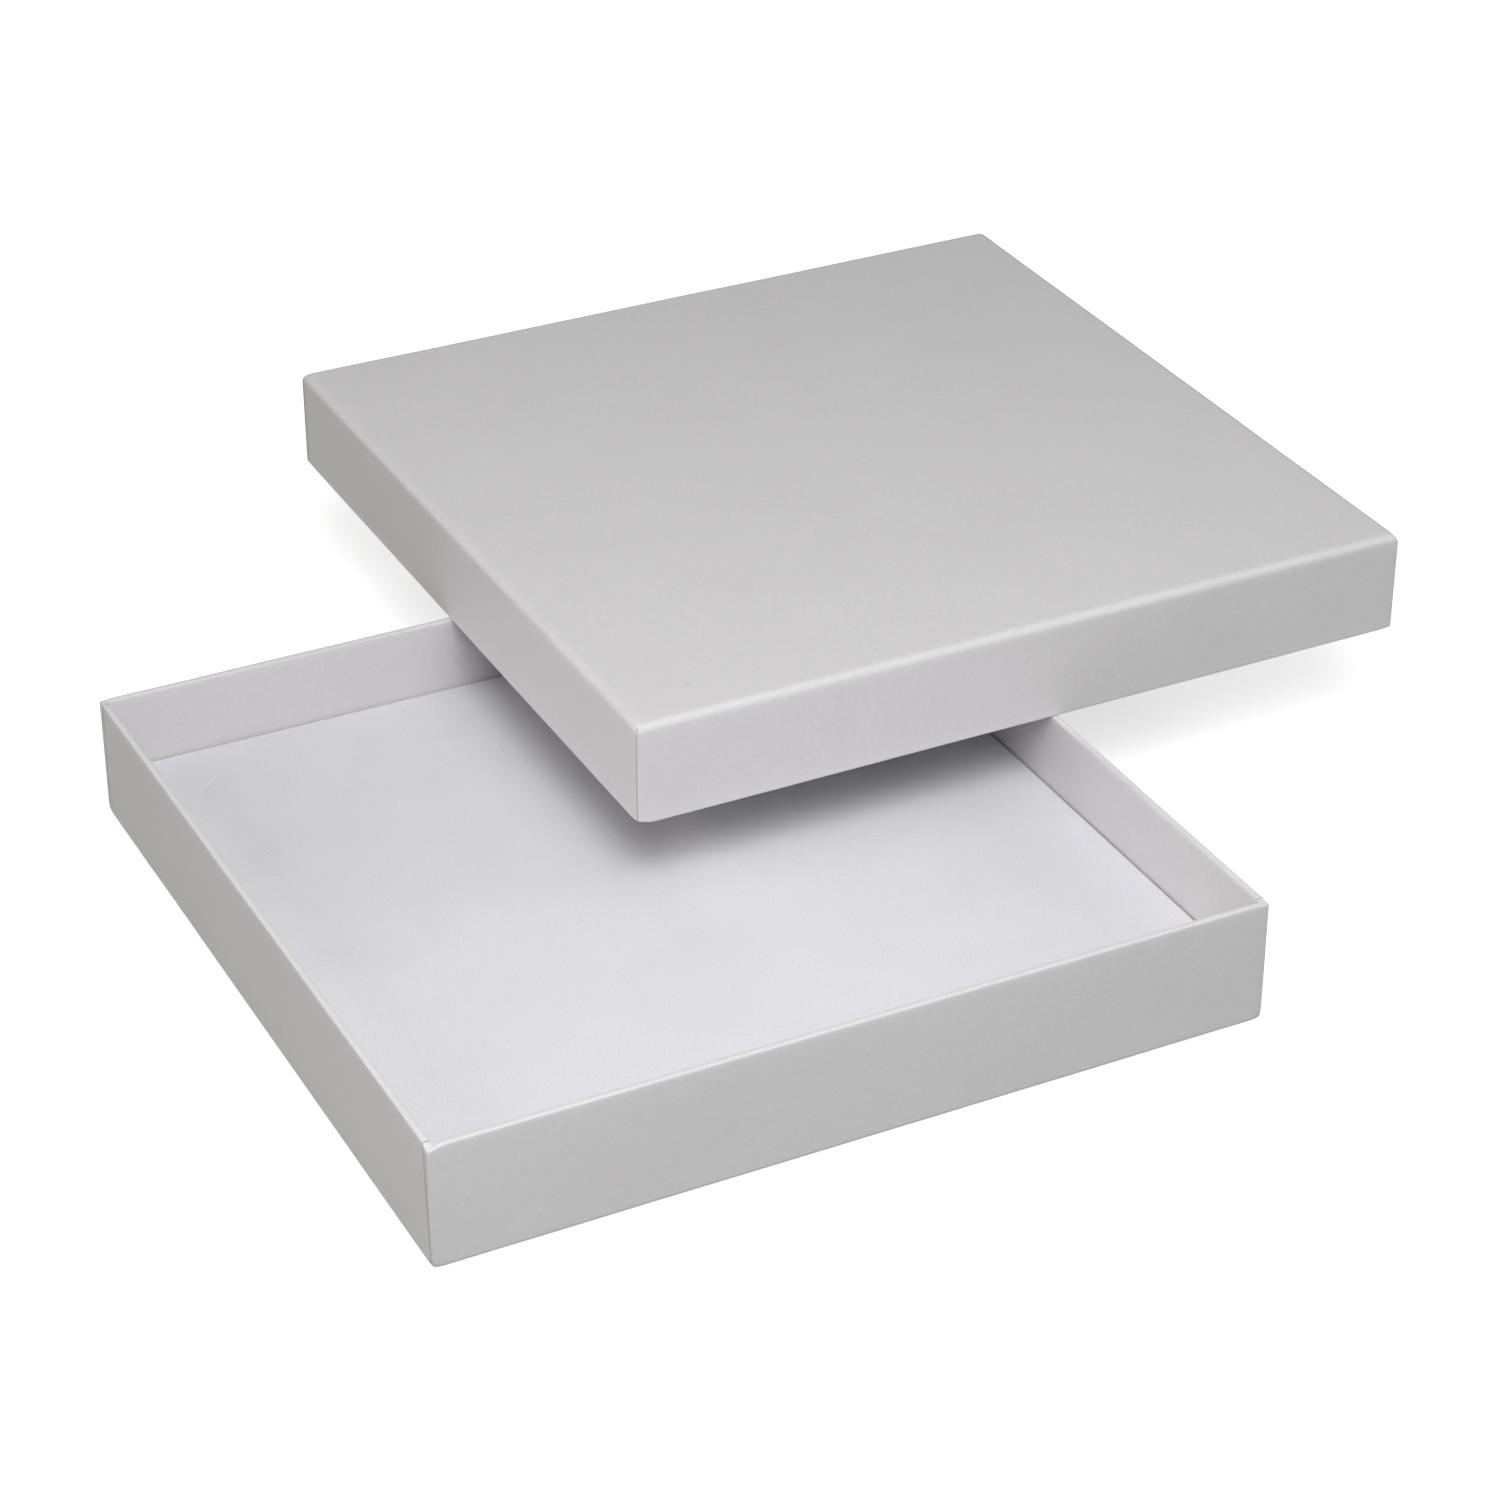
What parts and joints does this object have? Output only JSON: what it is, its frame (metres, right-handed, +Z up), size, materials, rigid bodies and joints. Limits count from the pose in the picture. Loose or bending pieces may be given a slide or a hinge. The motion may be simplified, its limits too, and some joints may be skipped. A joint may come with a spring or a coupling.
{
  "type": "jewelry gift box",
  "caption": "Square rigid gift box for a necklace: paper-wrapped tray with a slitted velour insert, and a lift-off lid lying on the tray's rim.",
  "frame": {"origin": "centre of the tray's underside, on the surface the box stands on", "axes": "+Z up; -Y towards the tray's front wall; -X towards its left wall; the lid lies back and to the right"},
  "size_m": [0.2353, 0.2358, 0.0454],
  "materials": {
    "greyboard": "matte",
    "stay_tape": "matte",
    "wrapping_paper": "satin",
    "foam": "matte",
    "velour": "matte"
  },
  "bodies": {
    "tray": {"tray_board": "greyboard", "tray_corner_stay_front_left": "stay_tape", "tray_corner_stay_front_right": "stay_tape", "tray_corner_stay_back_right": "stay_tape", "tray_corner_stay_back_left": "stay_tape", "tray_wrap": "wrapping_paper"},
    "insert": {"insert_card": "greyboard", "insert_foam": "foam", "insert_cover": "velour"},
    "lid": {"lid_board": "greyboard", "lid_corner_stay_front_left": "stay_tape", "lid_corner_stay_front_right": "stay_tape", "lid_corner_stay_back_right": "stay_tape", "lid_corner_stay_back_left": "stay_tape", "lid_wrap": "wrapping_paper", "lid_lining": "wrapping_paper"}
  },
  "joints": [
    {"name": "lid_lift", "type": "slide", "parent": "tray", "child": "lid", "axis": [0, 0, 1], "range_m": [0, 0.12]},
    {"name": "insert_lift", "type": "slide", "parent": "tray", "child": "insert", "axis": [0, 0, 1], "range_m": [0, 0.0145]}
  ]
}
